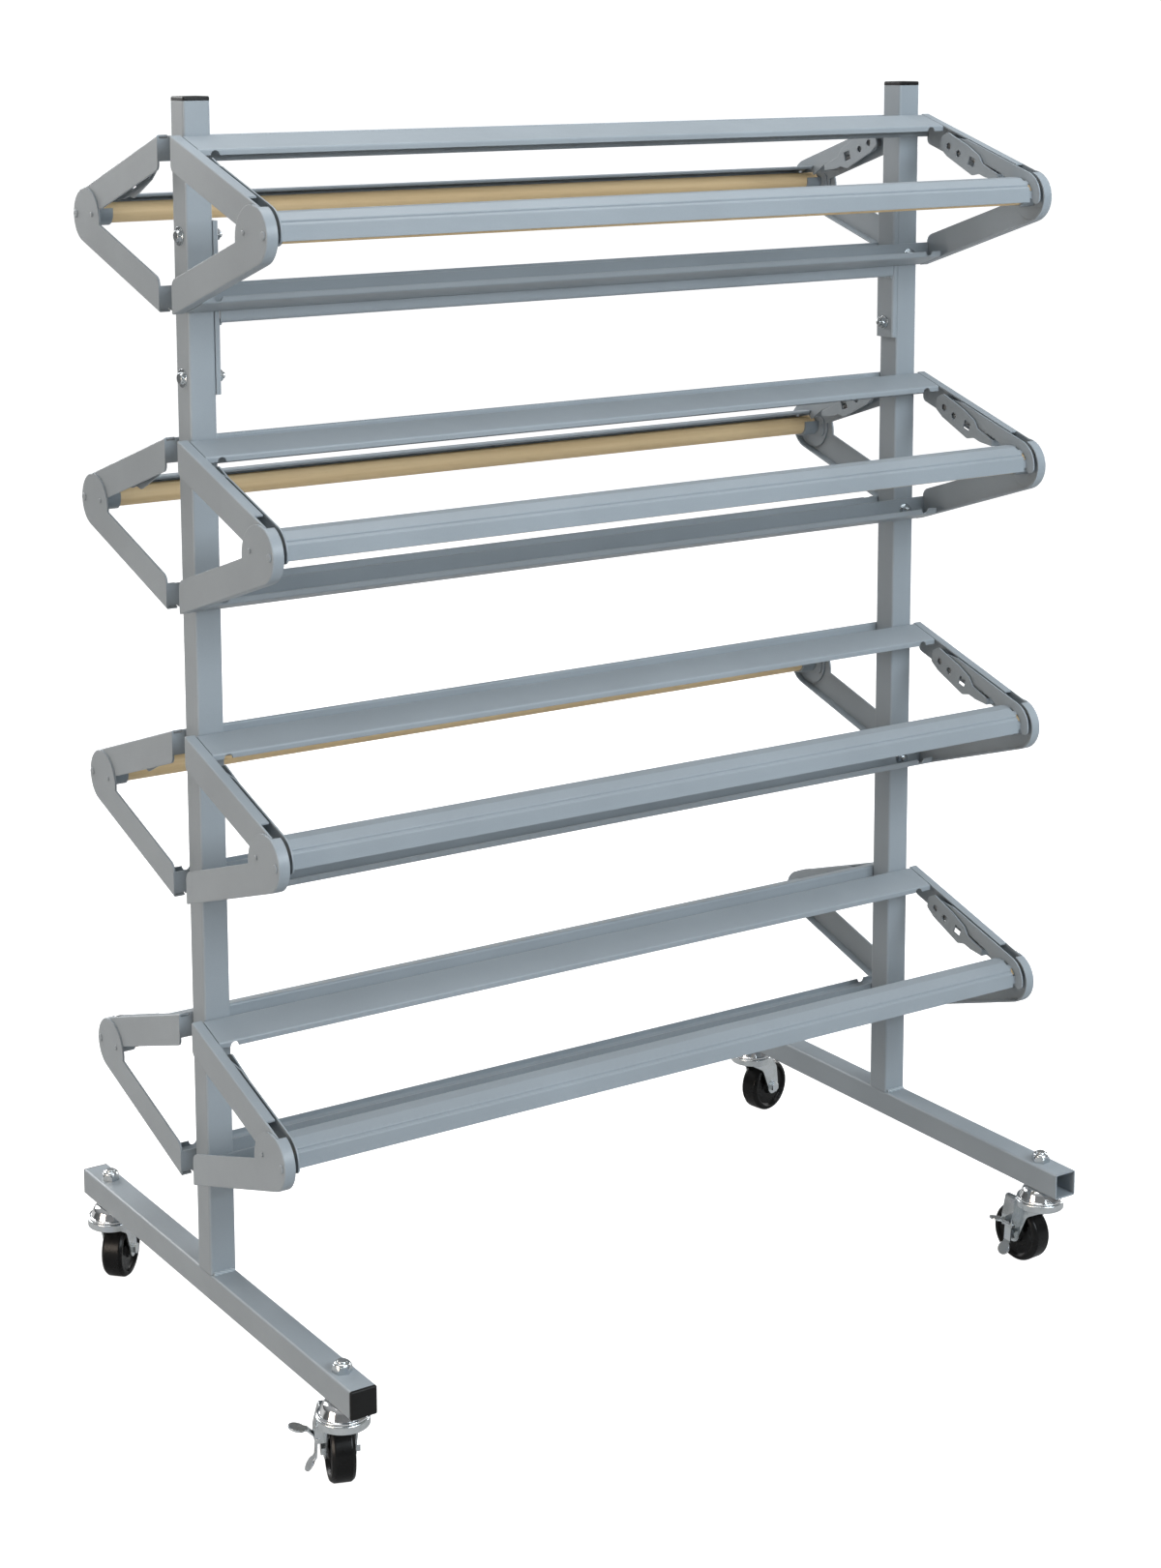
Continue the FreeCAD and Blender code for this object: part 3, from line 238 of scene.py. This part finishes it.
def plated(name, tints, low_rough, high_rough, relief):
    """Plated steel: cloudy tint, uneven polish and a faint skin."""
    material, tree, shader = new_material(name)
    plain = place(tree)
    cloud = noise(tree, plain, scale=60.0, detail=4.0, rough=0.6)
    shade = ramp(tree, cloud, tuple(zip((0.3, 0.5, 0.7), tints)))
    tree.links.new(shade, shader.inputs["Base Color"])
    polish = span(tree, noise(tree, plain, scale=130.0), low_rough, high_rough)
    tree.links.new(polish, shader.inputs["Roughness"])
    shader.inputs["Metallic"].default_value = 1.0
    skin = noise(tree, plain, scale=420.0, detail=2.0)
    edges = soft_edges(tree, radius=0.0006)
    bump(tree, shader, skin, distance=0.0002, strength=relief, normal=edges)
    return material


def moulded(name, dark, light, low_rough, high_rough, grain_scale, grain_depth):
    """Black moulded plastic or rubber with a fine surface grain and a little dust."""
    material, tree, shader = new_material(name)
    plain = place(tree)
    dust = noise(tree, plain, scale=38.0, detail=5.0, rough=0.65)
    tree.links.new(ramp(tree, dust, ((0.35, dark), (0.75, light))), shader.inputs["Base Color"])
    tree.links.new(span(tree, dust, low_rough, high_rough), shader.inputs["Roughness"])
    shader.inputs["Specular IOR Level"].default_value = 0.22
    grain = noise(tree, plain, grain_scale, detail=2.0)
    edges = soft_edges(tree, radius=0.0008)
    bump(tree, shader, grain, distance=grain_depth, strength=0.4, normal=edges)
    return material


def make_materials():
    """One material for each slot of the record."""
    zinc_tints = ((0.50, 0.53, 0.54), (0.62, 0.65, 0.66), (0.57, 0.61, 0.66))
    cap_tints = ((0.76, 0.77, 0.78), (0.84, 0.85, 0.86), (0.80, 0.81, 0.83))
    spring_tints = ((0.22, 0.22, 0.22), (0.30, 0.30, 0.30), (0.34, 0.33, 0.32))
    return {
        "enamel": enamel(),
        "weld_enamel": weld_enamel(),
        "beech": beech(),
        "black_plastic": moulded(
            "black_plastic", dark=0.004, light=0.009, low_rough=0.34, high_rough=0.50,
            grain_scale=1500.0, grain_depth=0.00010),
        "zinc": plated("zinc", zinc_tints, low_rough=0.16, high_rough=0.30, relief=0.25),
        "polished_cap": plated(
            "polished_cap", cap_tints, low_rough=0.06, high_rough=0.14, relief=0.06),
        "spring_steel": plated(
            "spring_steel", spring_tints, low_rough=0.28, high_rough=0.45, relief=0.15),
        "black_tyre": moulded(
            "black_tyre", dark=0.002, light=0.006, low_rough=0.20, high_rough=0.36,
            grain_scale=900.0, grain_depth=0.00012),
    }


# ---------------------------------------------------------------- objects

def add_object(name, data):
    """A new object in the scene that shows the given data."""
    made = bpy.data.objects.new(name, data)
    bpy.context.scene.collection.objects.link(made)
    return made


def paint(target, material):
    """Give an object one material on every face."""
    target.data.materials.clear()
    target.data.materials.append(material)


def paint_nodes(materials):
    """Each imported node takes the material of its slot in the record."""
    slots = {entry["node"]: entry["material_slot"] for entry in frame["record"]["subparts"]}
    for name, node in frame["nodes"].items():
        paint(node, materials[slots[name]])


# ---------------------------------------------------------------- springs

def tube_mesh(name, points, radius, sides=8):
    """A closed round tube along points, with rings kept square to the path."""
    mesh = bmesh.new()
    previous = None
    normal = None
    for index, point in enumerate(points):
        before = points[max(index - 1, 0)]
        after = points[min(index + 1, len(points) - 1)]
        along = (after - before).normalized()
        if normal is None:
            normal = along.orthogonal().normalized()
        normal = (normal - along * normal.dot(along)).normalized()
        binormal = along.cross(normal)
        ring = []
        for side in range(sides):
            turn = 2 * math.pi * side / sides
            arm = normal * math.cos(turn) + binormal * math.sin(turn)
            ring.append(mesh.verts.new(point + arm * radius))
        if previous is None:
            mesh.faces.new(ring[::-1])
        else:
            for side in range(sides):
                following = (side + 1) % sides
                mesh.faces.new((previous[side], previous[following], ring[following], ring[side]))
        previous = ring
    mesh.faces.new(previous)
    data = bpy.data.meshes.new(name)
    mesh.to_mesh(data)
    mesh.free()
    for polygon in data.polygons:
        polygon.use_smooth = len(polygon.vertices) == 4
    return data


def rounded_wire(corners):
    """The corners of a bent wire with each bend drawn as a short smooth curve."""
    path = [corners[0]]
    for before, corner, after in zip(corners, corners[1:], corners[2:]):
        start = corner + (before - corner).normalized() * BEND_RUN
        end = corner + (after - corner).normalized() * BEND_RUN
        for step in range(BEND_STEPS + 1):
            part = step / BEND_STEPS
            path.append(start.lerp(corner, part).lerp(corner.lerp(end, part), part))
    return path + [corners[-1]]


def spring_path(tail, anchor, inward):
    """Hook through the blade arm, close-wound coil and eye on the stud. inward points to the arm."""
    along = (anchor - tail).normalized()
    aside = along.cross(inward).normalized()
    first = tail + along * COIL_MARGIN
    last = anchor - along * COIL_MARGIN
    behind = tail + inward * (SPRING_X - HOOK_TIP_X)
    path = rounded_wire([
        behind - along * HOOK_TIP, behind, tail, tail + along * HOOK_RUN,
        first - along * COIL_LEAD + inward * COIL_RADIUS,
    ])
    steps = COIL_TURNS * COIL_STEPS
    for step in range(steps + 1):
        turn = 2 * math.pi * step / COIL_STEPS
        centre = first.lerp(last, step / steps)
        path.append(centre + (inward * math.cos(turn) + aside * math.sin(turn)) * COIL_RADIUS)
    path.append(anchor - along * (EYE_RADIUS + EYE_NECK))
    for step in range(EYE_STEPS + 1):
        turn = math.pi * (0.5 + step * EYE_HALF_TURNS / EYE_STEPS)
        path.append(anchor + (along * math.sin(turn) - aside * math.cos(turn)) * EYE_RADIUS)
    return path


def spring_place(face, level, side, spot, x):
    """A point at one end of a dispenser: x out to that side, and spot from the cutter's pivot."""
    pivot = Vector(JOINTS["cutter_swing_%s_%d" % (face, level)]["pos_m"])
    return pivot + Vector((SIDES[side] * x, FACES[face] * spot[0], spot[1]))


def make_springs(materials):
    """A wound spring at each end of each dispenser, from its hook on the blade arm to its eye on the stud."""
    for face, level, side in DISPENSER_ENDS:
        tail = spring_place(face, level, side, TAIL_SPOT, SPRING_X)
        anchor = spring_place(face, level, side, ANCHOR_SPOT, SPRING_X)
        inward = Vector((-SIDES[side], 0, 0))
        name = "tension_spring_%s_%d_%s" % (face, level, side)
        path = spring_path(tail, anchor, inward)
        spring = add_object(name, tube_mesh(name, path, WIRE_RADIUS))
        paint(spring, materials["spring_steel"])
        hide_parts("tension_springs")
        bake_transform(spring)


def turn_stud(mesh, foot, outward):
    """One stud turned about X on its foot, with its head towards the rack's middle."""
    rings = []
    for radius, depth in STUD_PROFILE:
        ring = []
        for side in range(STUD_SIDES if radius > 0 else 1):
            turn = outward * 2 * math.pi * side / STUD_SIDES
            arm = Vector((outward * depth, radius * math.cos(turn), radius * math.sin(turn)))
            ring.append(mesh.verts.new(foot + arm))
        rings.append(ring)
    for ring, following in zip(rings, rings[1:]):
        for side in range(STUD_SIDES):
            after = (side + 1) % STUD_SIDES
            corners = [ring[side % len(ring)], ring[after % len(ring)],
                       following[after % len(following)], following[side % len(following)]]
            mesh.faces.new(list(dict.fromkeys(corners)))


def make_spring_studs(materials):
    """The sixteen headed studs that the springs pull on, which stand on the arms' webs."""
    mesh = bmesh.new()
    for face, level, side in DISPENSER_ENDS:
        turn_stud(mesh, spring_place(face, level, side, ANCHOR_SPOT, WEB_X), SIDES[side])
    bmesh.ops.recalc_face_normals(mesh, faces=mesh.faces)
    data = bpy.data.meshes.new("spring_studs")
    mesh.to_mesh(data)
    mesh.free()
    data.polygons.foreach_set("use_smooth", [True] * len(data.polygons))
    studs = add_object("spring_studs", data)
    studs.modifiers.new("crisp_edges", "EDGE_SPLIT").split_angle = STUD_CREASE
    paint(studs, materials["spring_steel"])
    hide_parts("tension_springs")
    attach(studs, "frame")


# ---------------------------------------------------------------- stage, light and camera

def make_stage():
    """Plain pale floor that glows for the camera alone, like a light table white to the horizon."""
    bpy.ops.mesh.primitive_plane_add(size=60.0, location=(0.0, 0.0, 0.0))
    floor = bpy.context.object
    floor.name = "studio_floor"
    material, tree, shader = new_material("studio_floor")
    mottle = noise(tree, place(tree), scale=3.0, detail=2.0)
    tree.links.new(ramp(tree, mottle, ((0.3, 0.39), (0.7, 0.41))), shader.inputs["Base Color"])
    shader.inputs["Roughness"].default_value = 0.9
    shader.inputs["Specular IOR Level"].default_value = 0.0
    glow = tree.nodes.new("ShaderNodeEmission")
    glow.inputs["Color"].default_value = (1.0, 1.0, 1.0, 1.0)
    seen = tree.nodes.new("ShaderNodeLightPath").outputs["Is Camera Ray"]
    tree.links.new(span(tree, seen, low=0.0, high=0.92), glow.inputs["Strength"])
    both = tree.nodes.new("ShaderNodeAddShader")
    tree.links.new(shader.outputs["BSDF"], both.inputs[0])
    tree.links.new(glow.outputs["Emission"], both.inputs[1])
    tree.links.new(both.outputs["Shader"], tree.nodes["Material Output"].inputs["Surface"])
    paint(floor, material)


def make_world():
    """A white backdrop for the camera, and for the rack a room bright above and dim around."""
    world = bpy.data.worlds.new("studio")
    bpy.context.scene.world = world
    world.use_nodes = True
    tree = world.node_tree
    background = tree.nodes["Background"]
    background.inputs["Color"].default_value = (0.97, 0.99, 1.0, 1.0)
    coordinates = tree.nodes.new("ShaderNodeTexCoord")
    direction = tree.nodes.new("ShaderNodeSeparateXYZ")
    tree.links.new(coordinates.outputs["Generated"], direction.inputs["Vector"])
    room = ramp(tree, direction.outputs["Z"], ((0.0, 0.07), (0.18, 0.14), (0.55, 0.34), (1.0, 0.42)))
    seen = tree.nodes.new("ShaderNodeLightPath").outputs["Is Camera Ray"]
    strength = tree.nodes.new("ShaderNodeMix")
    tree.links.new(seen, strength.inputs["Factor"])
    tree.links.new(room, strength.inputs["A"])
    strength.inputs["B"].default_value = 1.1
    tree.links.new(strength.outputs["Result"], background.inputs["Strength"])


def area_light(name, spot, target, size, power, tint=(1.0, 1.0, 1.0)):
    """A soft rectangular light of size metres that shines from spot to target."""
    data = bpy.data.lights.new(name, "AREA")
    data.shape = "RECTANGLE"
    data.size, data.size_y = size
    data.energy = power
    data.color = tint
    light = add_object(name, data)
    light.location = spot
    light.rotation_mode = "QUATERNION"
    light.rotation_quaternion = (Vector(target) - Vector(spot)).to_track_quat("-Z", "Y")


def make_lights():
    """A broad cool key in front, a warm side light low on the left, and softer lights all round."""
    chest, waist, knee = (0.0, 0.0, 0.85), (0.0, 0.0, 0.8), (0.0, 0.0, 0.5)
    cool, warm = (0.92, 1.0, 1.06), (1.16, 1.0, 0.86)
    area_light("key", (0.9, -4.6, 3.0), chest, size=(3.0, 2.4), power=240.0, tint=cool)
    area_light("top", (-0.3, 0.2, 4.4), chest, size=(3.0, 3.0), power=110.0)
    area_light("back", (-0.8, 4.8, 2.6), chest, size=(3.0, 2.4), power=190.0)
    area_light("far_side", (4.5, 0.6, 1.4), waist, size=(2.0, 1.6), power=95.0)
    area_light("side", (-4.5, -0.6, 1.1), knee, size=(2.0, 1.6), power=82.0, tint=warm)


def make_camera():
    """A camera at eye height to the left of the front, with its lens shifted to keep uprights upright."""
    spot = Vector((-1.90656, -2.81615, 1.61693))
    heading, pitch, roll = 0.55664, 0.14893, -0.00847
    ahead = Vector((math.sin(heading) * math.cos(pitch),
                    math.cos(heading) * math.cos(pitch), -math.sin(pitch)))
    level_right = Vector((math.cos(heading), -math.sin(heading), 0.0))
    level_up = level_right.cross(ahead)
    right = level_right * math.cos(roll) + level_up * math.sin(roll)
    up = level_up * math.cos(roll) - level_right * math.sin(roll)
    data = bpy.data.cameras.new("photo_camera")
    data.sensor_fit = "AUTO"
    data.sensor_width = 36.0
    data.lens = 62.62
    data.shift_x = 0.0693
    data.shift_y = -0.2159
    data.clip_end = 100.0
    camera = add_object("photo_camera", data)
    turn = Matrix((right, up, -ahead)).transposed().to_4x4()
    camera.matrix_world = Matrix.Translation(spot) @ turn
    bpy.context.scene.camera = camera


materials = make_materials()
paint_nodes(materials)
make_springs(materials)
make_spring_studs(materials)
make_stage()
make_world()
make_lights()
make_camera()

bpy.context.view_layer.update()
bpy.context.scene.view_settings.view_transform = "Standard"
